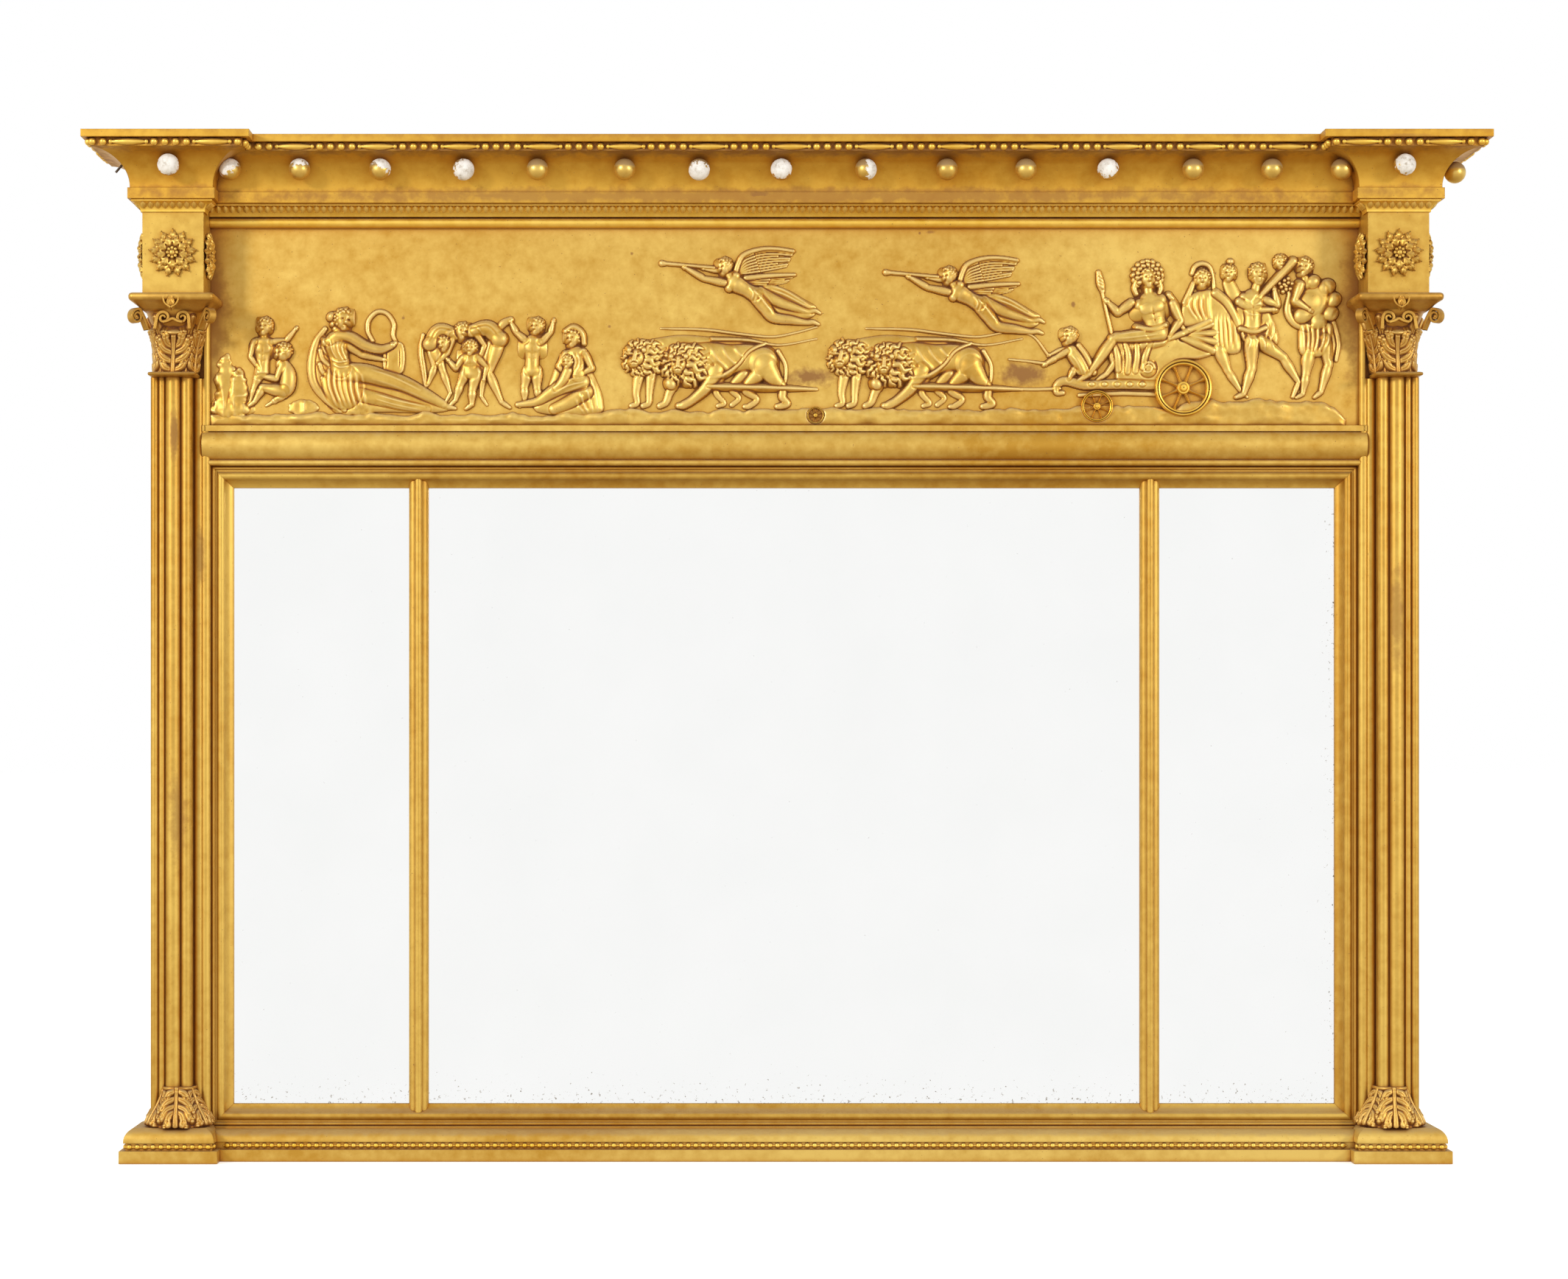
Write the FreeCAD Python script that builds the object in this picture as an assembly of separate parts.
import FreeCAD
import Part
import math
import os

V = FreeCAD.Vector

# Frame of the part: X runs across with the right side positive, Y runs back to the wall plane at zero
# with the front on the negative side, Z runs up from the shelf. A depth is counted out from the wall.

# Heights up the front, from the shelf (mm)
BASE_H = 33.0
SIGHT_W = 22.0
SIGHT_H = 635.0
RAIL_H = 41.0
FRIEZE_H = 203.0
BED_H = 21.0
CORNICE_H = 63.0
BLOCK_H = 95.0
CAPITAL_H = 81.0

# Widths across the front
SIGHT_SPAN = 1136.0
STRIP_W = 17.0
REED_INNER_W = 11.0
REED_WIDE_W = 16.0
REED_NARROW_W = 7.0
REED_OUTER_W = 8.0
BLOCK_OVERHANG = 3.0

# Depths out from the wall
CARCASS_T = 22.0
BOARD_T = 8.0
CENTRE_D = 51.0
BREAK_D = 29.0

# Carcass joinery
SIGHT_COVER = 12.0
BOARD_LAP = 7.0
TOP_RAIL_H = 52.0
TENON_T = 8.0
TENON_L = 40.0
TENON_SHOULDER = 8.0
JOINT_CLEARANCE = 0.2
REBATE_D = 7.0
REBATE_W = 8.0

# Glass, glazing blocks and backboards
GLASS_D = 15.0
GLASS_T = 3.0
GLASS_CLEARANCE = 1.5
BACKBOARD_T = 6.5
BACKBOARD_GAP = 0.5
BACKBOARD_COUNT = 3
GLAZING_BLOCK_L = 34.0
GLAZING_BLOCK_W = 10.0
GLAZING_ACROSS_SHARES = (-0.75, -0.25, 0.25, 0.75)
GLAZING_UP_SHARES = (0.2, 0.5, 0.8)
NAIL_R = 1.1
NAIL_HEAD_R = 3.0
NAIL_HEAD_T = 0.4
NAIL_L = 16.0
NAIL_COUNT = 5

# Sight moulding and glazing bars
SIGHT_LIP = 2.5
SIGHT_HOLLOW_H = 9.0
SIGHT_GROOVE_H = 9.5
SIGHT_REED_H = 13.0
SIGHT_BEAD_H = 11.3
SIGHT_STEP_SHARES = (0.36, 0.73, 0.82)
SIGHT_HOLLOW_MID_SHARES = (0.60, 0.36)
BAR_X = 377.0
BAR_W = 20.0
BAR_EDGE_H = 3.0
BAR_SHOULDER_H = 7.5
BAR_CREST_H = 11.4
BAR_CREST_W = 8.0
BAR_SWELL = 1.6
BAR_TONGUE_W = 5.0
BAR_TONGUE_L = 6.0
BAR_LAP = 12.0

# Shaft strips and reeds
STRIP_T = 14.0
STRIP_EDGE_DROP = 3.0
STRIP_VALLEY = 1.2
STRIP_SIDE_W = 6.0
SHAFT_T = 24.0
REED_RISE_SHARE = 0.47

# Rail under the frieze
RAIL_EDGE_T = 10.0
RAIL_BEAD_H = 6.0
RAIL_BEAD_RISE = 2.8
RAIL_CUSHION_T = 18.0
RAIL_UPPER_T = 12.0
RAIL_FILLET_T = 14.0
RAIL_FILLET_H = 6.0
RAIL_LAP = 8.0

# Bed mould under the cornice, and the one round each block
ASTRAGAL_T = 6.0
ASTRAGAL_H = 10.0
ASTRAGAL_RISE = 4.0
BED_FOOT_T = 12.0
BED_TOP_T = 28.0
BED_FILLET_H = 2.0
BED_HOLLOW_SHARES = (0.34, 0.70)
BLOCK_BED_H = 12.0
BLOCK_BED_FOOT_T = 1.5
BLOCK_BED_TOP_T = 10.0

# Cornice
CORNICE_OUT = 53.0
CORNICE_TOP_H = 7.5
CORNICE_BAND_H = 8.0
CORNICE_BAND_SETBACK = 8.0
CORNICE_FOOT_H = 11.0
CORNICE_FOOT_OUT = 13.0
CORNICE_COVE_SETBACK = 2.0
BALL_R = 11.0
BALL_SEAT = 0.5
BALL_RISE = 31.0
BALL_END_INSET = 27.0
BALL_PLACE_SHARES = (-1.0, -0.875, -0.73, -0.58, -0.447, -0.29, -0.156, -0.008,
                     0.144, 0.29, 0.432, 0.58, 0.733, 0.875, 1.0)
RETURN_BALL_D = 62.0
PIN_R = 1.2
PIN_L = 20.0

# Bead strings
BEAD_R = 3.5
BEAD_PITCH = 11.0
BEADS_TOGETHER = 3
REEL_R = 2.6
REEL_END = 1.4
STRING_PERIOD = 85.0
NECK_R = 1.2
SMALL_BEAD_R = 2.9
SMALL_BEAD_PITCH = 7.6

# Base moulding and plinths
FOOT_T = 34.0
FOOT_H = 12.0
BEAD_SEAT_T = 27.0
BEAD_BAND_H = 7.5
CUSHION_T = 29.0
CUSHION_MID_T = 25.5
CUSHION_MID_H = 27.5
CUSHION_TOP_T = 17.0
CUSHION_TOP_H = 31.0
BASE_TOP_T = 9.0
PLINTH_D = 75.0
PLINTH_H = 35.0
PLINTH_INNER_OVERHANG = 13.0
PLINTH_OUTER_OVERHANG = 28.0
PLINTH_FOOT_H = 12.7
PLINTH_SEAT_SETBACK = 6.0
PLINTH_CUSHION_SETBACK = 4.0
PLINTH_TOP_SETBACK = 13.0
PLINTH_CUSHION_BULGE = 3.0
PLINTH_HOUSING = 15.0

# Capital
RING_HALF_W = 24.5
RING_D = 68.0
RING_H = 7.0
BELL_FOOT_HALF_W = 21.5
BELL_FOOT_D = 62.0
BELL_TOP_HALF_W = 30.0
BELL_TOP_D = 76.0
ABACUS_HALF_W = 43.0
ABACUS_D = 95.0
ABACUS_HOLLOW = 8.0
ABACUS_HORN = 6.0
ABACUS_H = 11.0
ABACUS_NECK_H = 5.0
ABACUS_NECK_D = 82.0
ABACUS_NECK_HALF_W = 32.0
FLEURON_R = 7.0
FLEURON_T = 5.0
VOLUTE_R = 9.5
VOLUTE_T = 8.0
VOLUTE_DROP = 9.0
VOLUTE_INSET = 9.0
HELIX_R = 5.5
HELIX_T = 9.0
HELIX_X = 7.0
LOWER_LEAF_H = 34.0
LOWER_LEAF_W = 24.0
LOWER_LEAF_CURL = 8.0
UPPER_LEAF_H = 48.0
UPPER_LEAF_W = 22.0
UPPER_LEAF_CURL = 9.0
LEAF_T = 6.0
LEAF_TIP_R = 2.8
LEAF_BACK = 2.0
LEAF_SHOULDER_SHARES = (0.54, 0.62)

# Leaf at the foot of each shaft
FOOT_LEAF_H = 41.0
FOOT_LEAF_TOP_HALF_W = 22.0
FOOT_LEAF_HALF_W = 38.0
FOOT_LEAF_TOP_D = 58.0
FOOT_LEAF_D = 73.0
FOOT_LEAF_WAIST = 5.0
FOOT_LEAF_W = 27.0
FOOT_LEAF_CURL = 12.0
FOOT_LEAF_SIDE_X = 23.0

# Rosettes
ROSETTE_R = 24.5
ROSETTE_T = 3.0
PETAL_COUNT = 10
PETAL_T = 6.0
PETAL_ROOT_PLACE = 10.0
PETAL_TIP_PLACE = 19.0
PETAL_ROOT_R = 2.6
PETAL_TIP_R = 4.6
ROSETTE_BOSS_R = 7.5
ROSETTE_BOSS_T = 8.0

# Ring hangers on the back
HANGER_INSET = 34.0
HANGER_RISE = 40.0
STRAP_W = 16.0
STRAP_L = 44.0
STRAP_T = 1.6
KNUCKLE_R = 3.8
RING_WIRE_R = 1.9
RING_CLEARANCE = 0.3
RING_LEG = 18.0
RING_CORNER_R = 4.0
RING_DROP = 9.0
SCREW_R = 1.6
SCREW_L = 15.0
SCREW_HEAD_R = 3.2
SCREW_HEAD_T = 1.6
SCREW_PLACES = (14.0, 36.0)

# Relief on the frieze
RELIEF_T = 3.5
RELIEF_SWELL_SHARE = 0.45
WHEEL_T = 9.0
WHEEL_CLEARANCE = 0.3
RIM_W = 5.6
SPOKE_W = 3.6
HUB_R = 6.0
SPOKE_COUNT = 8
LARGE_WHEEL_R = 29.5
SMALL_WHEEL_R = 16.5
TINY_WHEEL_R = 9.0

# One overrun serves every cutting tool, and points nearer than this are one point
OVERRUN = 20.0
SAME_POINT = 1e-6

# Levels and lines that follow from the sizes above
Z_SIGHT_LOW = BASE_H + SIGHT_W
Z_SIGHT_HIGH = Z_SIGHT_LOW + SIGHT_H
Z_RAIL = Z_SIGHT_HIGH + SIGHT_W
Z_FRIEZE = Z_RAIL + RAIL_H
Z_BED = Z_FRIEZE + FRIEZE_H
Z_CORNICE = Z_BED + BED_H
Z_TOP = Z_CORNICE + CORNICE_H
Z_BLOCK = Z_CORNICE - BLOCK_H
Z_CAPITAL = Z_BLOCK - CAPITAL_H
Z_OPEN_LOW = Z_SIGHT_LOW - SIGHT_COVER
Z_OPEN_HIGH = Z_SIGHT_HIGH + SIGHT_COVER
Z_MIDDLE = Z_FRIEZE + BOARD_LAP
X_SIGHT = SIGHT_SPAN / 2
X_OPEN = X_SIGHT + SIGHT_COVER
X_STRIP = X_SIGHT + SIGHT_W
X_REEDS = X_STRIP + STRIP_W
X_SHAFT = X_REEDS + REED_INNER_W + REED_WIDE_W + REED_NARROW_W + REED_OUTER_W
X_BLOCK = X_SHAFT + BLOCK_OVERHANG
X_AXIS = (X_STRIP + X_BLOCK) / 2
X_PLINTH_IN = X_STRIP - PLINTH_INNER_OVERHANG
X_PLINTH_OUT = X_SHAFT + PLINTH_OUTER_OVERHANG
X_END_BALL = X_STRIP - BALL_END_INSET
HANGER_X = X_SHAFT - HANGER_INSET
BOARD_D = CARCASS_T + BOARD_T
BLOCK_D = CENTRE_D + BREAK_D
FULL_TURN = 360.0
HALF_TURN = 180.0
QUARTER_TURN = 90.0

NODES = {}


# Building helpers

def box(x0, x1, d0, d1, z0, z1):
    """Straight block between two widths, two depths from the wall and two heights."""
    return Part.makeBox(x1 - x0, d1 - d0, z1 - z0, V(x0, -d1, z0))


def outline(points, place):
    """Closed face of straight and curved sides; a side is an end point or (point on the arc, end point)."""
    edges = []
    first = place(*points[0])
    here = first
    for side in points[1:]:
        if isinstance(side[0], tuple):
            end = place(*side[1])
            edges.append(Part.Arc(here, place(*side[0]), end).toShape())
        else:
            end = place(*side)
            edges.append(Part.LineSegment(here, end).toShape())
        here = end
    if not here.isEqual(first, SAME_POINT):
        edges.append(Part.LineSegment(here, first).toShape())
    return Part.Face(Part.Wire(edges))


def front_prism(points, depth0, depth1):
    """Outline drawn on the front, given as (x, z), between two depths."""
    face = outline(points, lambda x, z: V(x, -depth0, z))
    return face.extrude(V(0, depth0 - depth1, 0))


def side_prism(points, x0, x1):
    """Outline drawn on the side, given as (depth, z), between two widths."""
    face = outline(points, lambda d, z: V(x0, -d, z))
    return face.extrude(V(x1 - x0, 0, 0))


def plan_prism(points, z0, z1):
    """Outline drawn in plan, given as (x, depth), between two heights."""
    face = outline(points, lambda x, d: V(x, -d, z0))
    return face.extrude(V(0, 0, z1 - z0))


def mitred(points, reach, start, along, out, up, length, first, last):
    """Length of moulding, its section given as (out, up): 1 is an outer mitre, -1 an inner one, 0 square."""
    over = reach + OVERRUN
    origin = start - along * (over + OVERRUN)
    face = outline(points, lambda p, h: origin + out * p + up * h)
    bar = face.extrude(along * (length + over + over + OVERRUN + OVERRUN))
    low = -OVERRUN
    near = ((-first * low, low), (length + last * low, low))
    far = ((length + last * over, over), (-first * over, over))
    floor = start - up * over
    shape = outline(near + far, lambda s, t: floor + along * s + out * t)
    return bar.common(shape.extrude(up * (over + over + over + over)))


def fused(shapes):
    """All the shapes as one, without the seams between them."""
    return shapes[0].multiFuse(list(shapes[1:])).removeSplitter()


def mirrored(shape):
    """The same shape on the other side of the centre line."""
    return shape.mirror(V(0, 0, 0), V(1, 0, 0))


def keep(name, shape):
    """Store a finished piece under its name."""
    NODES[name] = shape
    return shape


def keep_pair(name, right):
    """Store a right-hand piece and its mirror image."""
    keep(name + "_right", right)
    keep(name + "_left", mirrored(right))
    return right


X_WAY = V(1, 0, 0)
Y_WAY = V(0, 1, 0)
Z_WAY = V(0, 0, 1)
FRONT_WAY = V(0, -1, 0)


# Carcass: two stiles and three rails, tenoned together

def rail(z0, z1):
    """Carcass rail between the stiles with a stub tenon on each end."""
    low = (CARCASS_T - TENON_T) / 2
    body = box(-X_OPEN, X_OPEN, 0, CARCASS_T, z0, z1)
    reach = X_OPEN + TENON_L
    tenon = box(-reach, reach, low, low + TENON_T, z0 + TENON_SHOULDER, z1 - TENON_SHOULDER)
    return body.fuse(tenon).removeSplitter()


def mortise(z0, z1):
    """Pocket for the tenon of that rail, with the joint clearance all round."""
    low = (CARCASS_T - TENON_T) / 2 - JOINT_CLEARANCE
    high = low + TENON_T + JOINT_CLEARANCE + JOINT_CLEARANCE
    reach = X_OPEN + TENON_L + JOINT_CLEARANCE
    z_low = z0 + TENON_SHOULDER - JOINT_CLEARANCE
    z_high = z1 - TENON_SHOULDER + JOINT_CLEARANCE
    return box(-reach, reach, low, high, z_low, z_high)


RAIL_LEVELS = ((0, Z_OPEN_LOW), (Z_OPEN_HIGH, Z_MIDDLE), (Z_CORNICE - TOP_RAIL_H, Z_CORNICE))
X_REBATE = X_OPEN + REBATE_W
rebate = box(-X_REBATE, X_REBATE, -OVERRUN, REBATE_D, Z_OPEN_LOW - REBATE_W, Z_OPEN_HIGH + REBATE_W)
stile = box(X_OPEN, X_SHAFT, 0, CARCASS_T, 0, Z_CORNICE).cut(rebate)
for levels in RAIL_LEVELS:
    stile = stile.cut(mortise(*levels))
bottom_rail = rail(*RAIL_LEVELS[0]).cut(rebate)
middle_rail = rail(*RAIL_LEVELS[1]).cut(rebate)
top_rail = rail(*RAIL_LEVELS[2])

# Backboards in the rebate, with headed nails through them into the carcass
board_x = X_REBATE - BACKBOARD_GAP
board_low = Z_OPEN_LOW - REBATE_W + BACKBOARD_GAP
board_high = Z_OPEN_HIGH + REBATE_W - BACKBOARD_GAP
plank_h = (board_high - board_low - BACKBOARD_GAP * (BACKBOARD_COUNT - 1)) / BACKBOARD_COUNT
plank_d = REBATE_D - BACKBOARD_T
planks = []
for i in range(BACKBOARD_COUNT):
    z = board_low + i * (plank_h + BACKBOARD_GAP)
    planks.append(box(-board_x, board_x, plank_d, REBATE_D, z, z + plank_h))


def nail(x, z):
    """Cut nail driven forward through a backboard."""
    shank = Part.makeCylinder(NAIL_R, NAIL_L, V(x, -plank_d, z), FRONT_WAY)
    head = Part.makeCylinder(NAIL_HEAD_R, NAIL_HEAD_T, V(x, -plank_d, z), Y_WAY)
    return shank.fuse(head).removeSplitter()


nails = []
nail_x = X_OPEN + REBATE_W / 2
for i in range(BACKBOARD_COUNT):
    z = board_low + (i + 0.5) * (plank_h + BACKBOARD_GAP)
    nails.append(nail(-nail_x, z))
    nails.append(nail(nail_x, z))
for i in range(NAIL_COUNT):
    x = (i - (NAIL_COUNT - 1) / 2) * X_OPEN * 2 / NAIL_COUNT
    nails.append(nail(x, Z_OPEN_LOW - REBATE_W / 2))
    nails.append(nail(x, Z_OPEN_HIGH + REBATE_W / 2))
nail_set = Part.makeCompound(nails)
keep("backboards", Part.makeCompound([plank.cut(nail_set) for plank in planks]))
keep("backboard_nails", nail_set)
stile = stile.cut(nail_set)
bottom_rail = bottom_rail.cut(nail_set)
middle_rail = middle_rail.cut(nail_set)

# Three glass plates and the softwood blocks that hold them forward
plate_low = Z_OPEN_LOW + GLASS_CLEARANCE
plate_high = Z_OPEN_HIGH - GLASS_CLEARANCE
plate_back = GLASS_D - GLASS_T
bar_gap = BAR_TONGUE_W / 2 + GLASS_CLEARANCE
plate_in = BAR_X + bar_gap
plate_out = X_OPEN - GLASS_CLEARANCE
keep("mirror_centre", box(bar_gap - BAR_X, BAR_X - bar_gap, plate_back, GLASS_D, plate_low, plate_high))
keep_pair("mirror", box(plate_in, plate_out, plate_back, GLASS_D, plate_low, plate_high))
blocks = []
for share in GLAZING_ACROSS_SHARES:
    x = share * X_OPEN
    x0 = x - GLAZING_BLOCK_L / 2
    x1 = x + GLAZING_BLOCK_L / 2
    blocks.append(box(x0, x1, REBATE_D, plate_back, Z_OPEN_LOW, Z_OPEN_LOW + GLAZING_BLOCK_W))
    blocks.append(box(x0, x1, REBATE_D, plate_back, Z_OPEN_HIGH - GLAZING_BLOCK_W, Z_OPEN_HIGH))
for share in GLAZING_UP_SHARES:
    z = Z_OPEN_LOW + share * (Z_OPEN_HIGH - Z_OPEN_LOW)
    z0 = z - GLAZING_BLOCK_L / 2
    z1 = z + GLAZING_BLOCK_L / 2
    blocks.append(box(X_OPEN - GLAZING_BLOCK_W, X_OPEN, REBATE_D, plate_back, z0, z1))
    blocks.append(box(-X_OPEN, GLAZING_BLOCK_W - X_OPEN, REBATE_D, plate_back, z0, z1))
keep("glazing_blocks", Part.makeCompound(blocks))

# Sight moulding, mitred round the glass
hollow_w = SIGHT_W * SIGHT_STEP_SHARES[0]
reed_w = SIGHT_W * SIGHT_STEP_SHARES[1]
bead_w = SIGHT_W * SIGHT_STEP_SHARES[2]
hollow_mid = (hollow_w * SIGHT_HOLLOW_MID_SHARES[0],
              GLASS_D + SIGHT_LIP + (SIGHT_HOLLOW_H - SIGHT_LIP) * SIGHT_HOLLOW_MID_SHARES[1])
sight_section = (
    (0, GLASS_D),
    (0, GLASS_D + SIGHT_LIP),
    (hollow_mid, (hollow_w, GLASS_D + SIGHT_HOLLOW_H)),
    (((hollow_w + reed_w) / 2, GLASS_D + SIGHT_REED_H), (reed_w, GLASS_D + SIGHT_GROOVE_H)),
    (bead_w, GLASS_D + SIGHT_GROOVE_H),
    (((bead_w + SIGHT_W) / 2, GLASS_D + SIGHT_BEAD_H), (SIGHT_W, GLASS_D + SIGHT_GROOVE_H)),
    (SIGHT_W, CARCASS_T),
    (SIGHT_COVER, CARCASS_T),
    (SIGHT_COVER, GLASS_D),
)
sight_top = mitred(sight_section, SIGHT_W, V(-X_SIGHT, 0, Z_SIGHT_HIGH), X_WAY, Z_WAY, FRONT_WAY,
                   SIGHT_SPAN, 1, 1)
sight_bottom = mitred(sight_section, SIGHT_W, V(-X_SIGHT, 0, Z_SIGHT_LOW), X_WAY, -Z_WAY, FRONT_WAY,
                      SIGHT_SPAN, 1, 1)
sight_side = mitred(sight_section, SIGHT_W, V(X_SIGHT, 0, Z_SIGHT_LOW), Z_WAY, X_WAY, FRONT_WAY,
                    SIGHT_H, 1, 1)
keep("sight_moulding_top", sight_top)
keep("sight_moulding_bottom", sight_bottom)
keep_pair("sight_moulding", sight_side)

# Glazing bars over the joints of the glass, scribed over the sight moulding
half_bar = BAR_W / 2
half_crest = BAR_CREST_W / 2
swell_x = (half_bar + half_crest) / 2
swell_d = GLASS_D + (BAR_EDGE_H + BAR_SHOULDER_H) / 2 + BAR_SWELL
bar_section = (
    (BAR_X - half_bar, GLASS_D),
    (BAR_X - half_bar, GLASS_D + BAR_EDGE_H),
    ((BAR_X - swell_x, swell_d), (BAR_X - half_crest, GLASS_D + BAR_SHOULDER_H)),
    ((BAR_X, GLASS_D + BAR_CREST_H), (BAR_X + half_crest, GLASS_D + BAR_SHOULDER_H)),
    ((BAR_X + swell_x, swell_d), (BAR_X + half_bar, GLASS_D + BAR_EDGE_H)),
    (BAR_X + half_bar, GLASS_D),
)
bar = plan_prism(bar_section, Z_SIGHT_LOW - BAR_LAP, Z_SIGHT_HIGH + BAR_LAP)
half_tongue = BAR_TONGUE_W / 2
tongue = box(BAR_X - half_tongue, BAR_X + half_tongue, GLASS_D - BAR_TONGUE_L, GLASS_D,
             Z_OPEN_LOW, Z_OPEN_HIGH)
bar = bar.fuse(tongue).removeSplitter().cut(sight_top).cut(sight_bottom)
keep_pair("glazing_bar", bar)

# Rail moulding between glass and frieze
rail_section = (
    (CARCASS_T, Z_RAIL),
    (CARCASS_T + RAIL_EDGE_T, Z_RAIL),
    ((CARCASS_T + RAIL_EDGE_T + RAIL_BEAD_RISE, Z_RAIL + RAIL_BEAD_H / 2),
     (CARCASS_T + RAIL_EDGE_T, Z_RAIL + RAIL_BEAD_H)),
    ((CARCASS_T + RAIL_CUSHION_T, Z_RAIL + RAIL_H / 2), (CARCASS_T + RAIL_UPPER_T, Z_FRIEZE - RAIL_FILLET_H)),
    (CARCASS_T + RAIL_FILLET_T, Z_FRIEZE - RAIL_FILLET_H),
    (CARCASS_T + RAIL_FILLET_T, Z_FRIEZE),
    (CARCASS_T, Z_FRIEZE),
)
rail_reach = X_STRIP + RAIL_LAP
frieze_rail = keep("frieze_rail", side_prism(rail_section, -rail_reach, rail_reach))

# Shafts: a shallow inner strip and a cluster of four reeds
strip_front = CARCASS_T + STRIP_T
strip_section = (
    (X_STRIP, CARCASS_T),
    (X_STRIP, strip_front - STRIP_EDGE_DROP),
    ((X_STRIP + STRIP_W / 4, strip_front), (X_STRIP + STRIP_W / 2, strip_front - STRIP_VALLEY)),
    ((X_REEDS - STRIP_W / 4, strip_front), (X_REEDS, strip_front - STRIP_EDGE_DROP)),
    (X_REEDS, CARCASS_T),
)
z_strip_top = Z_BLOCK - ABACUS_NECK_H - ABACUS_H
strip = plan_prism(strip_section, BASE_H, z_strip_top)
strip_cutter = box(X_STRIP + STRIP_SIDE_W, X_REEDS + OVERRUN, 0, strip_front + OVERRUN, Z_CAPITAL, Z_BLOCK)
strip = strip.cut(strip_cutter).cut(frieze_rail)
shaft_front = CARCASS_T + SHAFT_T
reed_points = [(X_REEDS, CARCASS_T), (X_REEDS, shaft_front)]
x = X_REEDS
for width in (REED_INNER_W, REED_WIDE_W, REED_NARROW_W, REED_OUTER_W):
    reed_points.append(((x + width / 2, shaft_front + width * REED_RISE_SHARE), (x + width, shaft_front)))
    x = x + width
reed_points.append((X_SHAFT, CARCASS_T))
shaft = plan_prism(tuple(reed_points), PLINTH_H, Z_CAPITAL)

# Plinths, moulded on three sides and housed over the stiles
seat_z = PLINTH_FOOT_H + BEAD_BAND_H
cushion_z = (seat_z + PLINTH_H) / 2


def plinth_sides(low, high):
    """Front outline of a plinth from its inner to its outer edge."""
    return (
        (low, 0),
        (low, PLINTH_FOOT_H),
        (low + PLINTH_SEAT_SETBACK, PLINTH_FOOT_H),
        (low + PLINTH_SEAT_SETBACK, seat_z),
        (low + PLINTH_CUSHION_SETBACK, seat_z),
        ((low + PLINTH_TOP_SETBACK - PLINTH_CUSHION_BULGE * 2, cushion_z + PLINTH_CUSHION_BULGE),
         (low + PLINTH_TOP_SETBACK, PLINTH_H)),
        (high - PLINTH_TOP_SETBACK, PLINTH_H),
        ((high - PLINTH_TOP_SETBACK + PLINTH_CUSHION_BULGE * 2, cushion_z + PLINTH_CUSHION_BULGE),
         (high - PLINTH_CUSHION_SETBACK, seat_z)),
        (high - PLINTH_SEAT_SETBACK, seat_z),
        (high - PLINTH_SEAT_SETBACK, PLINTH_FOOT_H),
        (high, PLINTH_FOOT_H),
        (high, 0),
    )


plinth_front = front_prism(plinth_sides(X_PLINTH_IN, X_PLINTH_OUT), 0, PLINTH_D)
plinth_side = side_prism(plinth_sides(-PLINTH_D, PLINTH_D), X_PLINTH_IN, X_PLINTH_OUT)
plinth = plinth_front.common(plinth_side)
plinth = plinth.cut(box(X_PLINTH_IN - OVERRUN, X_SHAFT, 0, CARCASS_T, 0, PLINTH_H))
plinth = plinth.cut(sight_bottom).cut(sight_side)
strip = strip.cut(plinth)
keep_pair("plinth", plinth)
keep_pair("shaft_strip", strip)
keep_pair("shaft_reeds", shaft)

# Base moulding between the plinths
base_section = (
    (CARCASS_T, 0),
    (CARCASS_T + FOOT_T, 0),
    (CARCASS_T + FOOT_T, FOOT_H),
    (CARCASS_T + BEAD_SEAT_T, FOOT_H),
    (CARCASS_T + BEAD_SEAT_T, FOOT_H + BEAD_BAND_H),
    (CARCASS_T + CUSHION_T, FOOT_H + BEAD_BAND_H),
    ((CARCASS_T + CUSHION_MID_T, CUSHION_MID_H), (CARCASS_T + CUSHION_TOP_T, CUSHION_TOP_H)),
    (CARCASS_T + BASE_TOP_T, CUSHION_TOP_H),
    (CARCASS_T + BASE_TOP_T, BASE_H),
    (CARCASS_T, BASE_H),
)
base_reach = X_PLINTH_IN + PLINTH_HOUSING
base = side_prism(base_section, -base_reach, base_reach)
base = base.cut(plinth).cut(mirrored(plinth))
keep("base_moulding", base)

# Frieze board and the bed mould on it
frieze_panel = keep("frieze_panel", box(-X_STRIP, X_STRIP, CARCASS_T, BOARD_D, Z_FRIEZE, Z_CORNICE))
bed_low = (BOARD_D + BED_FOOT_T, Z_BED + ASTRAGAL_H)
bed_high = (BOARD_D + BED_TOP_T, Z_CORNICE - BED_FILLET_H)
bed_mid = (bed_low[0] + (bed_high[0] - bed_low[0]) * BED_HOLLOW_SHARES[0],
           bed_low[1] + (bed_high[1] - bed_low[1]) * BED_HOLLOW_SHARES[1])
bed_section = (
    (BOARD_D, Z_BED),
    (BOARD_D + ASTRAGAL_T, Z_BED),
    ((BOARD_D + ASTRAGAL_T + ASTRAGAL_RISE, Z_BED + ASTRAGAL_H / 2),
     (BOARD_D + ASTRAGAL_T, Z_BED + ASTRAGAL_H)),
    bed_low,
    (bed_mid, bed_high),
    (BOARD_D + BED_TOP_T, Z_CORNICE),
    (BOARD_D, Z_CORNICE),
)
bed_centre = side_prism(bed_section, -X_STRIP, X_STRIP)

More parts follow.
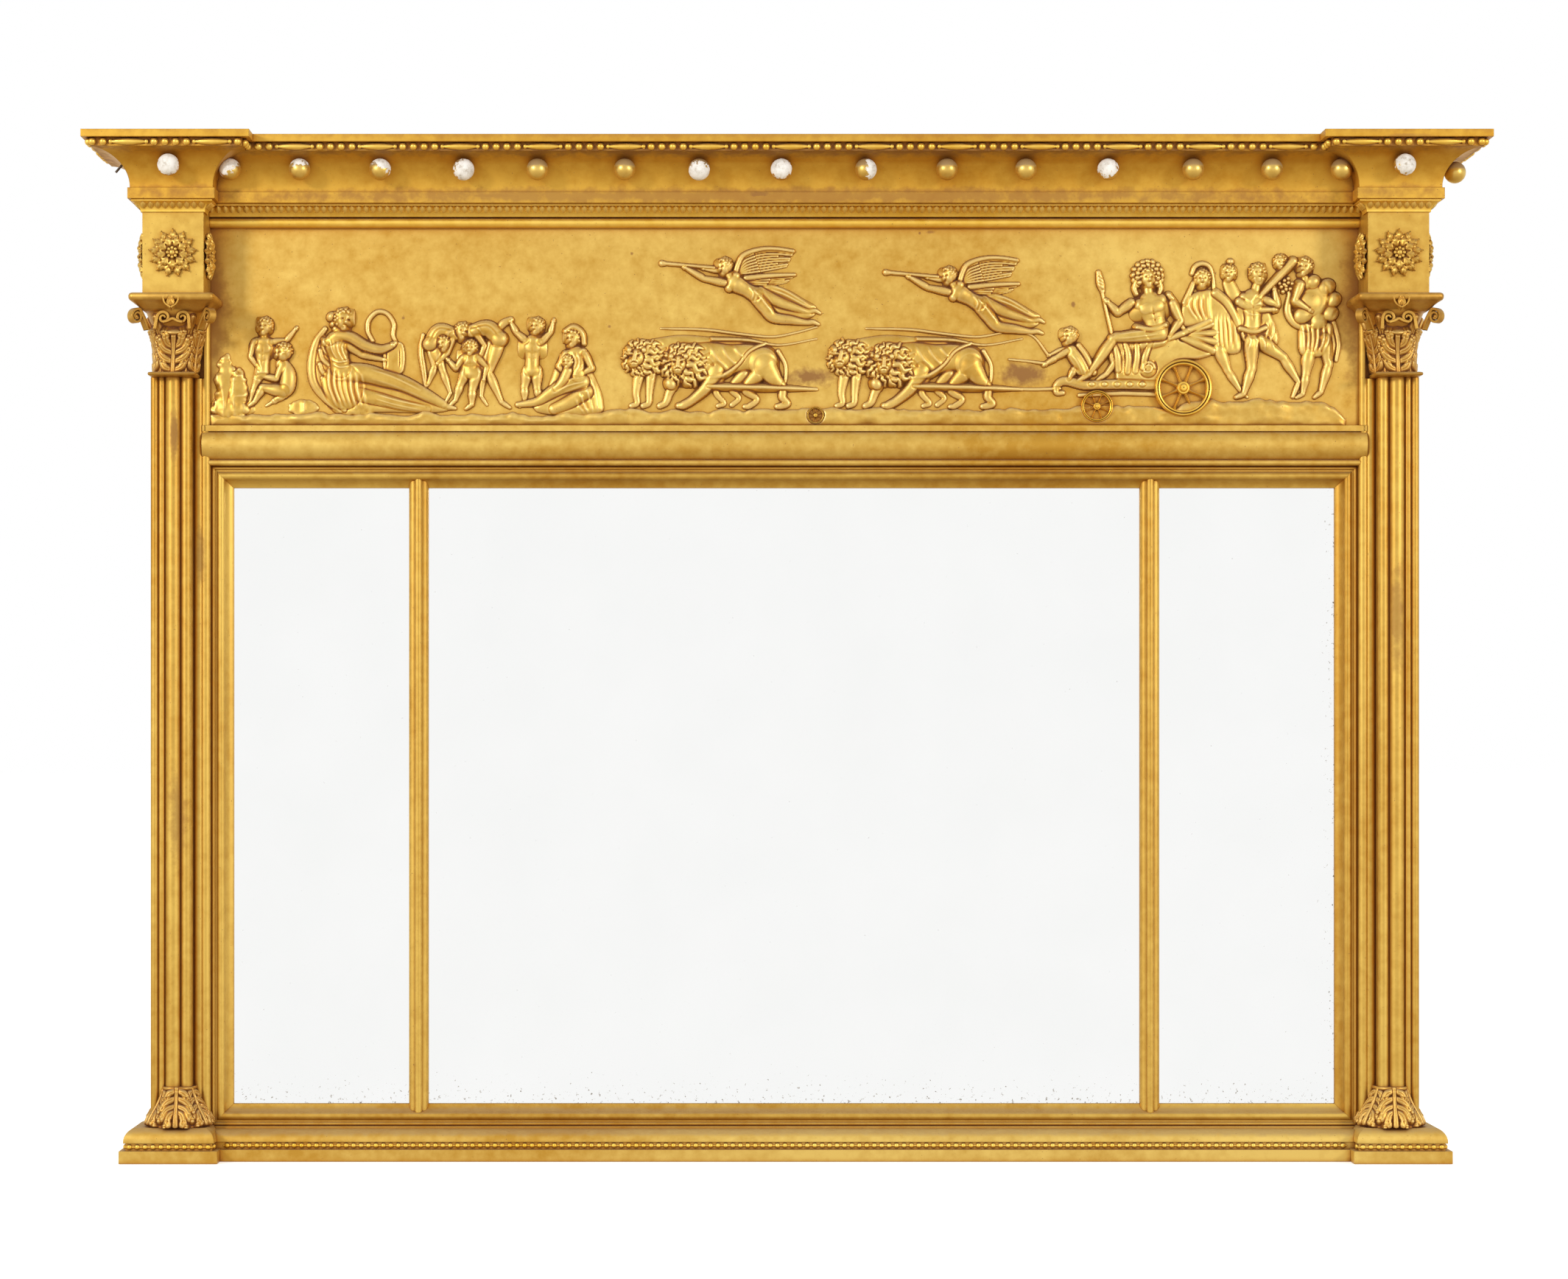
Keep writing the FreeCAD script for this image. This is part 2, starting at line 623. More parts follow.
# Corner blocks with their own bed mould on three sides
keep_pair("block", box(X_STRIP, X_BLOCK, CARCASS_T, BLOCK_D, Z_BLOCK, Z_CORNICE))
collar_mid = (BLOCK_BED_FOOT_T + (BLOCK_BED_TOP_T - BLOCK_BED_FOOT_T) * BED_HOLLOW_SHARES[0],
              (BLOCK_BED_H - BED_FILLET_H) * BED_HOLLOW_SHARES[1])
collar_section = (
    (0, 0),
    (BLOCK_BED_FOOT_T, 0),
    (collar_mid, (BLOCK_BED_TOP_T, BLOCK_BED_H - BED_FILLET_H)),
    (BLOCK_BED_TOP_T, BLOCK_BED_H),
    (0, BLOCK_BED_H),
)
z_collar = Z_CORNICE - BLOCK_BED_H
collar_side = BLOCK_D - BOARD_D - BED_TOP_T
collar = fused((
    mitred(collar_section, BLOCK_BED_TOP_T, V(X_BLOCK, 0, z_collar), FRONT_WAY, X_WAY, Z_WAY, BLOCK_D, 0, 1),
    mitred(collar_section, BLOCK_BED_TOP_T, V(X_BLOCK, -BLOCK_D, z_collar), -X_WAY, FRONT_WAY, Z_WAY,
           X_BLOCK - X_STRIP, 1, 1),
    mitred(collar_section, BLOCK_BED_TOP_T, V(X_STRIP, -BLOCK_D, z_collar), Y_WAY, -X_WAY, Z_WAY,
           collar_side, 1, 0),
))
keep("bed_moulds", Part.makeCompound([bed_centre, collar, mirrored(collar)]))

# Cornice: pine cores and seven mitred lengths of coved moulding
keep("cornice_core_centre", box(-X_STRIP, X_STRIP, 0, CENTRE_D, Z_CORNICE, Z_TOP))
keep_pair("cornice_core", box(X_STRIP, X_BLOCK, 0, BLOCK_D, Z_CORNICE, Z_TOP))
band_out = CORNICE_OUT - CORNICE_BAND_SETBACK
cove_out = CORNICE_FOOT_OUT - CORNICE_COVE_SETBACK
cove_high = CORNICE_H - CORNICE_TOP_H - CORNICE_BAND_H
diagonal = math.sqrt(2) / 2
cove_mid = (band_out - (band_out - cove_out) * diagonal,
            CORNICE_FOOT_H + (cove_high - CORNICE_FOOT_H) * diagonal)
cornice_section = (
    (0, 0),
    (CORNICE_FOOT_OUT, 0),
    (CORNICE_FOOT_OUT, CORNICE_FOOT_H),
    (cove_out, CORNICE_FOOT_H),
    (cove_mid, (band_out, cove_high)),
    (band_out, CORNICE_H - CORNICE_TOP_H),
    (CORNICE_OUT, CORNICE_H - CORNICE_TOP_H),
    (CORNICE_OUT, CORNICE_H),
    (0, CORNICE_H),
)
block_span = X_BLOCK - X_STRIP
cornice_outer = mitred(cornice_section, CORNICE_OUT, V(X_BLOCK, 0, Z_CORNICE),
                       FRONT_WAY, X_WAY, Z_WAY, BLOCK_D, 0, 1)
cornice_front = mitred(cornice_section, CORNICE_OUT, V(X_BLOCK, -BLOCK_D, Z_CORNICE),
                       -X_WAY, FRONT_WAY, Z_WAY, block_span, 1, 1)
cornice_inner = mitred(cornice_section, CORNICE_OUT, V(X_STRIP, -BLOCK_D, Z_CORNICE),
                       Y_WAY, -X_WAY, Z_WAY, BREAK_D, 1, -1)
cornice_centre = mitred(cornice_section, CORNICE_OUT, V(X_STRIP, -CENTRE_D, Z_CORNICE),
                        -X_WAY, FRONT_WAY, Z_WAY, X_STRIP * 2, -1, -1)

# Balls pinned to the cove
cove_foot = V(cove_out, 0, CORNICE_FOOT_H)
cove = Part.Arc(cove_foot, V(cove_mid[0], 0, cove_mid[1]), V(band_out, 0, cove_high)).toShape().Curve
ball_swing = cove.Radius - BALL_R + BALL_SEAT
ball_lift = BALL_RISE - cove.Center.z
ball_out = cove.Center.x - math.sqrt(ball_swing * ball_swing - ball_lift * ball_lift)
pin_turn = math.atan2(ball_lift, cove.Center.x - ball_out)
z_ball = Z_CORNICE + BALL_RISE


def ball_at(foot, out):
    """Ball and pin on the cove, from the foot of its face and the way that the face looks."""
    centre = foot + out * ball_out
    way = out * -math.cos(pin_turn) + Z_WAY * math.sin(pin_turn)
    return Part.makeSphere(BALL_R, centre), Part.makeCylinder(PIN_R, PIN_L, centre, way)


balls = []
pins = []
for share in BALL_PLACE_SHARES:
    ball, pin = ball_at(V(share * X_END_BALL, -CENTRE_D, z_ball), FRONT_WAY)
    for length in (cornice_centre, cornice_inner, mirrored(cornice_inner), pin):
        ball = ball.cut(length)
    balls.append(ball)
    pins.append(pin)
centre_pins = Part.makeCompound(pins)
keep("cornice_centre", cornice_centre.cut(centre_pins))
front_ball, front_pin = ball_at(V(X_AXIS, -BLOCK_D, z_ball), FRONT_WAY)
front_ball = front_ball.cut(cornice_front).cut(front_pin)
outer_ball, outer_pin = ball_at(V(X_BLOCK, -RETURN_BALL_D, z_ball), X_WAY)
outer_ball = outer_ball.cut(cornice_outer).cut(outer_pin)
keep_pair("cornice_front", cornice_front.cut(front_pin))
keep_pair("cornice_outer_return", cornice_outer.cut(outer_pin))
keep_pair("cornice_inner_return", cornice_inner)
balls = balls + [front_ball, mirrored(front_ball), outer_ball]
pins = pins + [front_pin, mirrored(front_pin), outer_pin, mirrored(outer_pin)]
keep("cornice_balls", Part.makeCompound(balls))
keep("ball_pins", Part.makeCompound(pins))


# Bead strings: each one a half-round string turned about its own line

def bead_sides(radius, middle):
    """Arc over one bead between its necks."""
    half = math.sqrt(radius * radius - NECK_R * NECK_R)
    return [(middle - half, NECK_R), ((middle, radius), (middle + half, NECK_R))]


def half_string(sides, length, start, along, up):
    """Turn the upper outline of a string half a turn about its line; the flat side is its back."""
    points = [(0, 0), (0, NECK_R)] + sides + [(length, NECK_R), (length, 0)]
    face = outline(tuple(points), lambda s, r: start + along * s + up * r)
    return face.revolve(start, along, HALF_TURN)


def bead_and_reel(length):
    """Groups of beads with a long reel between them, stretched to fill the length."""
    count = max(1, round(length / STRING_PERIOD))
    period = length / count
    sides = []
    for i in range(count):
        here = i * period
        for k in range(BEADS_TOGETHER):
            sides = sides + bead_sides(BEAD_R, here + (k + 0.5) * BEAD_PITCH)
        low = here + BEADS_TOGETHER * BEAD_PITCH
        high = here + period - REEL_END
        sides = sides + [(low, NECK_R), (low + REEL_END, REEL_R), (high - REEL_END, REEL_R), (high, NECK_R)]
    return sides


def plain_beads(length):
    """Beads touching one another along the whole length."""
    count = max(1, int(length / SMALL_BEAD_PITCH))
    pitch = length / count
    sides = []
    for i in range(count):
        sides = sides + bead_sides(SMALL_BEAD_R, (i + 0.5) * pitch)
    return sides


z_string = Z_CORNICE + cove_high + CORNICE_BAND_H / 2
front_l = block_span + band_out * 2
outer_l = BLOCK_D + band_out
centre_l = (X_STRIP - band_out) * 2
inner_l = BREAK_D - BEAD_R
three_beads = []
inner_pitch = inner_l / BEADS_TOGETHER
for i in range(BEADS_TOGETHER):
    three_beads = three_beads + bead_sides(BEAD_R, (i + 0.5) * inner_pitch)
centre_start = V(-centre_l / 2, -CENTRE_D - band_out, z_string)
front_start = V(X_AXIS - front_l / 2, -BLOCK_D - band_out, z_string)
outer_start = V(X_BLOCK + band_out, -outer_l, z_string)
inner_start = V(X_STRIP - band_out, -CENTRE_D - band_out - BEAD_R, z_string)
strings = [half_string(bead_and_reel(centre_l), centre_l, centre_start, X_WAY, Z_WAY)]
for turn in (False, True):
    runs = [
        half_string(bead_and_reel(front_l), front_l, front_start, X_WAY, Z_WAY),
        half_string(bead_and_reel(outer_l), outer_l, outer_start, Y_WAY, Z_WAY),
        half_string(three_beads, inner_l, inner_start, FRONT_WAY, Z_WAY),
    ]
    strings = strings + [mirrored(run) if turn else run for run in runs]
keep("cornice_beading", Part.makeCompound(strings))
z_small = FOOT_H + BEAD_BAND_H / 2
z_plinth_string = PLINTH_FOOT_H + BEAD_BAND_H / 2
base_l = (X_PLINTH_IN - SMALL_BEAD_R) * 2
seat_d = PLINTH_D - PLINTH_SEAT_SETBACK
seat_in = X_PLINTH_IN + PLINTH_SEAT_SETBACK
seat_out = X_PLINTH_OUT - PLINTH_SEAT_SETBACK
seat_w = seat_out - seat_in
in_l = seat_d - CARCASS_T - FOOT_T
small = [
    half_string(plain_beads(base_l), base_l, V(-base_l / 2, -CARCASS_T - BEAD_SEAT_T, z_small), X_WAY, Z_WAY),
]
for turn in (False, True):
    runs = [
        half_string(plain_beads(seat_w), seat_w, V(seat_in, -seat_d, z_plinth_string), X_WAY, Z_WAY),
        half_string(plain_beads(seat_d), seat_d, V(seat_out, -seat_d, z_plinth_string), Y_WAY, Z_WAY),
        half_string(plain_beads(in_l), in_l, V(seat_in, in_l - seat_d, z_plinth_string), FRONT_WAY, Z_WAY),
    ]
    small = small + [mirrored(run) if turn else run for run in runs]
keep("base_beading", Part.makeCompound(small))


# Rosettes on three faces of each block

def capsule(x0, z0, r0, x1, z1, r1, place):
    """Outline of a limb: two round ends and the straight sides that touch both."""
    run = math.hypot(x1 - x0, z1 - z0)
    way = math.atan2(z1 - z0, x1 - x0)
    lean = math.acos((r0 - r1) / run)
    ends = []
    for x, z, r, turn in ((x0, z0, r0, lean), (x0, z0, r0, math.pi), (x0, z0, r0, -lean),
                          (x1, z1, r1, -lean), (x1, z1, r1, 0), (x1, z1, r1, lean)):
        ends.append((x + r * math.cos(way + turn), z + r * math.sin(way + turn)))
    return outline((ends[0], (ends[1], ends[2]), ends[3], (ends[4], ends[5])), place)


rosette_parts = [Part.makeCylinder(ROSETTE_R - PETAL_TIP_R, ROSETTE_T)]
petal = capsule(PETAL_ROOT_PLACE, 0, PETAL_ROOT_R, PETAL_TIP_PLACE, 0, PETAL_TIP_R, lambda x, z: V(x, z, 0))
for i in range(PETAL_COUNT):
    one = petal.extrude(V(0, 0, PETAL_T))
    one.rotate(V(0, 0, 0), Z_WAY, i * FULL_TURN / PETAL_COUNT)
    rosette_parts.append(one)
boss_sphere_r = (ROSETTE_BOSS_R * ROSETTE_BOSS_R + ROSETTE_BOSS_T * ROSETTE_BOSS_T) / (ROSETTE_BOSS_T * 2)
boss = Part.makeSphere(boss_sphere_r, V(0, 0, ROSETTE_BOSS_T - boss_sphere_r))
boss_room = Part.makeCylinder(ROSETTE_R, ROSETTE_BOSS_T + OVERRUN)
rosette_parts.append(boss.common(boss_room))
rosette = fused(rosette_parts)


def on_face(shape, point, way):
    """Copy of a shape that was built on the ground, set on a point and looking a given way."""
    copy = shape.copy()
    turn = FreeCAD.Rotation(Z_WAY, way)
    copy.Placement = FreeCAD.Placement(point, turn)
    return copy


z_rosette = (Z_BLOCK + z_collar) / 2
d_rosette = (BOARD_D + BLOCK_D) / 2
right_rosettes = [
    on_face(rosette, V(X_AXIS, -BLOCK_D, z_rosette), FRONT_WAY),
    on_face(rosette, V(X_STRIP, -d_rosette, z_rosette), -X_WAY),
    on_face(rosette, V(X_BLOCK, -d_rosette, z_rosette), X_WAY),
]
keep("rosettes", Part.makeCompound(right_rosettes + [mirrored(one) for one in right_rosettes]))


# Capitals

def leaf(width, height, curl, thick):
    """Leaf standing at the origin with its back to +Y: a bent blade trimmed to a pointed outline."""
    side = (
        (-LEAF_BACK, 0),
        (thick, 0),
        ((thick + curl / 4, height / 2), (thick + curl, height)),
        (curl, height),
        ((curl / 4 - LEAF_BACK / 2, height / 2), (-LEAF_BACK, 0)),
    )
    front = (
        (-width / 2, 0),
        ((-width * LEAF_SHOULDER_SHARES[0], height * LEAF_SHOULDER_SHARES[1]), (0, height)),
        ((width * LEAF_SHOULDER_SHARES[0], height * LEAF_SHOULDER_SHARES[1]), (width / 2, 0)),
    )
    blade = outline(side, lambda d, z: V(-width, -d, z)).extrude(V(width * 2, 0, 0))
    reach = curl + thick + OVERRUN
    shape = outline(front, lambda x, z: V(x, OVERRUN, z)).extrude(V(0, -reach - OVERRUN, 0))
    tip_l = width / 3
    tip_place = V(-tip_l / 2, -curl - thick + LEAF_TIP_R / 2, height - LEAF_TIP_R * 2)
    tip = Part.makeCylinder(LEAF_TIP_R, tip_l, tip_place, X_WAY)
    return blade.common(shape).fuse(tip)


def set_leaf(shape, x, d, z, turn):
    """Leaf turned about the upright and set on its place."""
    copy = shape.copy()
    copy.rotate(V(0, 0, 0), Z_WAY, turn)
    copy.translate(V(x, -d, z))
    return copy


z_bell = Z_CAPITAL + RING_H
z_abacus = Z_BLOCK - ABACUS_NECK_H - ABACUS_H
half_ring = RING_H / 2


def ring_ends(low, high):
    """Half-round edge of the ring under the capital."""
    return (
        (low + half_ring, Z_CAPITAL),
        (high - half_ring, Z_CAPITAL),
        ((high, Z_CAPITAL + half_ring), (high - half_ring, z_bell)),
        (low + half_ring, z_bell),
        ((low, Z_CAPITAL + half_ring), (low + half_ring, Z_CAPITAL)),
    )


ring_body = front_prism(ring_ends(X_AXIS - RING_HALF_W, X_AXIS + RING_HALF_W), CARCASS_T, RING_D)
ring_body = ring_body.common(side_prism(ring_ends(-RING_D, RING_D), X_AXIS - ABACUS_HALF_W,
                                        X_AXIS + ABACUS_HALF_W))


def bell_wire(half, depth, z):
    """Plan of the bell at one height."""
    low = X_AXIS - half
    high = X_AXIS + half
    corners = ((low, CARCASS_T), (high, CARCASS_T), (high, depth), (low, depth))
    return outline(corners, lambda x, d: V(x, -d, z)).OuterWire


bell = Part.makeLoft([bell_wire(BELL_FOOT_HALF_W, BELL_FOOT_D, z_bell),
                      bell_wire(BELL_TOP_HALF_W, BELL_TOP_D, z_abacus)], True, True)
horn = ABACUS_HORN
abacus_plan = (
    (X_AXIS - ABACUS_HALF_W + ABACUS_HOLLOW, CARCASS_T),
    (X_AXIS + ABACUS_HALF_W - ABACUS_HOLLOW, CARCASS_T),
    (X_AXIS + ABACUS_HALF_W, ABACUS_D - horn),
    (X_AXIS + ABACUS_HALF_W - horn, ABACUS_D),
    ((X_AXIS, ABACUS_D - ABACUS_HOLLOW), (X_AXIS - ABACUS_HALF_W + horn, ABACUS_D)),
    (X_AXIS - ABACUS_HALF_W, ABACUS_D - horn),
)
abacus = plan_prism(abacus_plan, z_abacus, z_abacus + ABACUS_H)
neck = box(X_AXIS - ABACUS_NECK_HALF_W, X_AXIS + ABACUS_NECK_HALF_W, CARCASS_T, ABACUS_NECK_D,
           z_abacus + ABACUS_H, Z_BLOCK)
capital_parts = [ring_body, bell, abacus, neck]
fleuron_back = V(X_AXIS, ABACUS_HOLLOW * 2 - ABACUS_D, z_abacus + ABACUS_H / 2)
capital_parts.append(Part.makeCylinder(FLEURON_R, FLEURON_T + ABACUS_HOLLOW, fleuron_back, FRONT_WAY))
for side in (-1, 1):
    x = X_AXIS + side * (ABACUS_HALF_W - VOLUTE_INSET)
    way = V(side, 1, 0).normalize()
    centre = V(x, VOLUTE_INSET - ABACUS_D, z_abacus - VOLUTE_DROP)
    capital_parts.append(Part.makeCylinder(VOLUTE_R, VOLUTE_T, centre - way * (VOLUTE_T / 2), way))
    stalk_foot = V(X_AXIS + side * BELL_TOP_HALF_W, -BELL_TOP_D, z_abacus - VOLUTE_R * 2)
    capital_parts.append(Part.makeCylinder(VOLUTE_T / 2, VOLUTE_R * 2, stalk_foot, Z_WAY))
    helix_back = V(X_AXIS + side * HELIX_X, HELIX_R - BELL_TOP_D, z_abacus - HELIX_R)
    capital_parts.append(Part.makeCylinder(HELIX_R, HELIX_T, helix_back, FRONT_WAY))
lower = leaf(LOWER_LEAF_W, LOWER_LEAF_H, LOWER_LEAF_CURL, LEAF_T)
upper = leaf(UPPER_LEAF_W, UPPER_LEAF_H, UPPER_LEAF_CURL, LEAF_T)
eighth = QUARTER_TURN / 2
d_side = (CARCASS_T + BELL_FOOT_D) / 2 + LEAF_T
half_foot = BELL_FOOT_HALF_W
capital_parts = capital_parts + [
    set_leaf(lower, X_AXIS, BELL_FOOT_D, z_bell, 0),
    set_leaf(lower, X_AXIS + half_foot, BELL_FOOT_D - LEAF_T / 2, z_bell, eighth),
    set_leaf(lower, X_AXIS - half_foot, BELL_FOOT_D - LEAF_T / 2, z_bell, -eighth),
    set_leaf(lower, X_AXIS + half_foot, d_side, z_bell, QUARTER_TURN),
    set_leaf(lower, X_AXIS - half_foot, d_side, z_bell, -QUARTER_TURN),
    set_leaf(upper, X_AXIS + half_foot / 2, BELL_FOOT_D, z_bell, 0),
    set_leaf(upper, X_AXIS - half_foot / 2, BELL_FOOT_D, z_bell, 0),
    set_leaf(upper, X_AXIS + half_foot, d_side + LEAF_T, z_bell, QUARTER_TURN),
    set_leaf(upper, X_AXIS - half_foot, d_side + LEAF_T, z_bell, -QUARTER_TURN),
]
capital = fused(capital_parts)
capital = capital.cut(box(0, X_AXIS + X_AXIS, CARCASS_T - OVERRUN - OVERRUN, CARCASS_T, Z_CAPITAL, Z_BLOCK))
capital = capital.cut(strip).cut(frieze_panel)
keep_pair("capital", capital)

# Leaf cluster at the foot of each shaft
z_leaf = PLINTH_H + FOOT_LEAF_H
leaf_front = (
    (X_AXIS - FOOT_LEAF_HALF_W, PLINTH_H),
    (X_AXIS + FOOT_LEAF_HALF_W, PLINTH_H),
    ((X_AXIS + FOOT_LEAF_TOP_HALF_W + FOOT_LEAF_WAIST, PLINTH_H + FOOT_LEAF_H / 2),
     (X_AXIS + FOOT_LEAF_TOP_HALF_W, z_leaf)),
    (X_AXIS - FOOT_LEAF_TOP_HALF_W, z_leaf),
    ((X_AXIS - FOOT_LEAF_TOP_HALF_W - FOOT_LEAF_WAIST, PLINTH_H + FOOT_LEAF_H / 2),
     (X_AXIS - FOOT_LEAF_HALF_W, PLINTH_H)),
)
leaf_side = (
    (CARCASS_T, PLINTH_H),
    (FOOT_LEAF_D - LEAF_T, PLINTH_H),
    ((FOOT_LEAF_TOP_D - LEAF_T / 2 + FOOT_LEAF_WAIST / 2, PLINTH_H + FOOT_LEAF_H / 2),
     (FOOT_LEAF_TOP_D - LEAF_T / 2, z_leaf)),
    (CARCASS_T, z_leaf),
)
foot_core = front_prism(leaf_front, CARCASS_T, FOOT_LEAF_D)
foot_core = foot_core.common(side_prism(leaf_side, X_AXIS - FOOT_LEAF_HALF_W, X_AXIS + FOOT_LEAF_HALF_W))
hanging = leaf(FOOT_LEAF_W, FOOT_LEAF_H, FOOT_LEAF_CURL, LEAF_T).mirror(V(0, 0, 0), Z_WAY)
d_hang = FOOT_LEAF_TOP_D - LEAF_T
foot_leaf = fused([
    foot_core,
    set_leaf(hanging, X_AXIS, d_hang, z_leaf, 0),
    set_leaf(hanging, X_AXIS + FOOT_LEAF_TOP_HALF_W - LEAF_T, d_hang - LEAF_T, z_leaf, eighth),
    set_leaf(hanging, X_AXIS - FOOT_LEAF_TOP_HALF_W + LEAF_T, d_hang - LEAF_T, z_leaf, -eighth),
])
foot_leaf = foot_leaf.cut(shaft).cut(strip)
foot_leaf = foot_leaf.cut(box(X_STRIP - FOOT_LEAF_HALF_W, X_SHAFT + FOOT_LEAF_HALF_W, -OVERRUN, CARCASS_T,
                              0, z_leaf + OVERRUN))
foot_leaf = foot_leaf.cut(sight_bottom).cut(sight_side).cut(base)
keep_pair("foot_leaf", foot_leaf)

# Ring hangers on the back of the stiles
z_axle = Z_MIDDLE + HANGER_RISE
axle = V(HANGER_X, KNUCKLE_R, z_axle)
half_strap = STRAP_W / 2
hole_r = RING_WIRE_R + RING_CLEARANCE
strap = Part.makeBox(STRAP_W, STRAP_T, STRAP_L, V(HANGER_X - half_strap, 0, z_axle))
knuckle = Part.makeCylinder(KNUCKLE_R, STRAP_W, axle - X_WAY * half_strap, X_WAY)
strap = strap.fuse(knuckle).removeSplitter()
hole_start = axle - X_WAY * (half_strap + OVERRUN / 2)
strap = strap.cut(Part.makeCylinder(hole_r, STRAP_W + OVERRUN, hole_start, X_WAY))
screws = []
for place in SCREW_PLACES:
    centre = V(HANGER_X, STRAP_T, z_axle + place)
    shank = Part.makeCylinder(SCREW_R, SCREW_L, centre, FRONT_WAY)
    cap_r = (SCREW_HEAD_R * SCREW_HEAD_R + SCREW_HEAD_T * SCREW_HEAD_T) / (SCREW_HEAD_T * 2)
    dome = Part.makeSphere(cap_r, centre + Y_WAY * (SCREW_HEAD_T - cap_r))
    dome = dome.common(Part.makeCylinder(cap_r + OVERRUN, cap_r * 2, centre, Y_WAY))
    screws.append(shank.fuse(dome).removeSplitter())
screw_set = Part.makeCompound(screws)
strap = strap.cut(screw_set)
stile = stile.cut(screw_set)
half_leg = RING_LEG / 2
z_corner = z_axle - RING_CORNER_R
z_bend = z_corner - RING_DROP
bow_r = half_leg + RING_CORNER_R
leg = Part.makeCylinder(RING_WIRE_R, RING_LEG, axle - X_WAY * half_leg, X_WAY)
loop = [leg]
for side in (-1, 1):
    corner_x = HANGER_X + side * half_leg
    corner = Part.makeTorus(RING_CORNER_R, RING_WIRE_R, V(corner_x, KNUCKLE_R, z_corner), Y_WAY)
    low_x = min(corner_x, corner_x + side * RING_CORNER_R * 2)
    room = Part.makeBox(RING_CORNER_R * 2, RING_CORNER_R * 2, RING_CORNER_R * 2,
                        V(low_x, KNUCKLE_R - RING_CORNER_R, z_corner))
    loop.append(corner.common(room))
    limb_foot = V(HANGER_X + side * bow_r, KNUCKLE_R, z_bend)
    loop.append(Part.makeCylinder(RING_WIRE_R, RING_DROP, limb_foot, Z_WAY))
bow = Part.makeTorus(bow_r, RING_WIRE_R, V(HANGER_X, KNUCKLE_R, z_bend), Y_WAY)
room_corner = V(HANGER_X - bow_r * 2, KNUCKLE_R - bow_r, z_bend - bow_r * 2)
room = Part.makeBox(bow_r * 4, bow_r * 2, bow_r * 2, room_corner)
loop.append(bow.common(room))
hanger_ring = fused(loop)
keep_pair("hanger_ring", hanger_ring)
keep("hanger_straps", Part.makeCompound([strap, mirrored(strap)]))
keep("hanger_screws", Part.makeCompound(screws + [mirrored(one) for one in screws]))

keep_pair("stile", stile)
keep("bottom_rail", bottom_rail)
keep("middle_rail", middle_rail)
keep("top_rail", top_rail)

# Relief figures. Every limb is (x, z, r, x, z, r) in hundredths of the frieze height, x from the group's own
# place and z from the foot of the frieze; a place is a share of the frieze width from its left edge.
HUNDREDTH_SHARE = 0.01
FRIEZE_ACROSS_SHARE = 581.0
MUSIC_PLACE_SHARE = 0.077
MUSIC_LIMB_SHARES = (
    # rock
    (-39, 10, 4.2, -30, 9, 4.5), (-37, 22, 6, -33, 14, 6.5), (-37, 36, 3.5, -36, 26, 6),
    (-31, 32, 3.5, -32, 22, 5),
    # standing youth
    (-17, 52, 4.4, -17.5, 50, 3.6), (-18, 42, 5, -20, 28, 4.2), (-15, 43.5, 2.4, -7, 44, 2),
    (-7, 44, 2, -2, 49.5, 1.6), (-23, 43, 2.4, -25, 36, 2), (-25, 36, 2, -22, 30, 1.6),
    (-20, 27, 3.4, -24, 19, 2.4), (-24, 19, 2.4, -23.5, 11, 1.8),
    # crouching child
    (-9.5, 37.5, 4.8, -9, 36, 4.2), (-7, 31, 4, -8, 20, 4.8), (-11, 30, 2, -11.5, 24.5, 1.8),
    (-11.5, 24.5, 1.8, -17, 24, 1.5), (-8, 18, 4, -17, 18, 3), (-17, 18, 3, -23, 12, 2),
    (-9, 16, 3.4, -14, 11, 2.4),
    # seated player with a lyre
    (22, 56, 5.2, 21, 53, 4), (17, 45, 5.5, 17, 32, 6.5), (19, 46, 3, 30, 39.5, 2.6),
    (30, 39.5, 2.6, 50, 41, 1.8), (8, 46, 2.4, 5.5, 30, 2.6), (5.5, 30, 2.6, 9, 18, 2.8),
    (9, 18, 2.8, 18, 10, 3), (18, 28, 6.5, 36, 27, 6), (36, 27, 6, 55, 23.5, 4.6),
    (55, 23.5, 4.6, 67, 13, 3.4), (67, 13, 3.4, 76, 8.5, 2.2), (25, 22, 7, 27, 12, 6),
    (36, 20, 6, 53, 13, 4.6), (53, 13, 4.6, 64, 7, 3), (35, 30, 1.6, 32, 44, 1.5),
    (32, 44, 1.5, 34.5, 53, 1.3), (48, 30, 1.6, 52, 42, 1.5), (52, 42, 1.5, 49, 53, 1.3),
    (33, 51, 1.1, 50, 51, 1.1), (38, 30, 5, 45, 30, 5),
)
DANCERS_PLACE_SHARE = 0.257
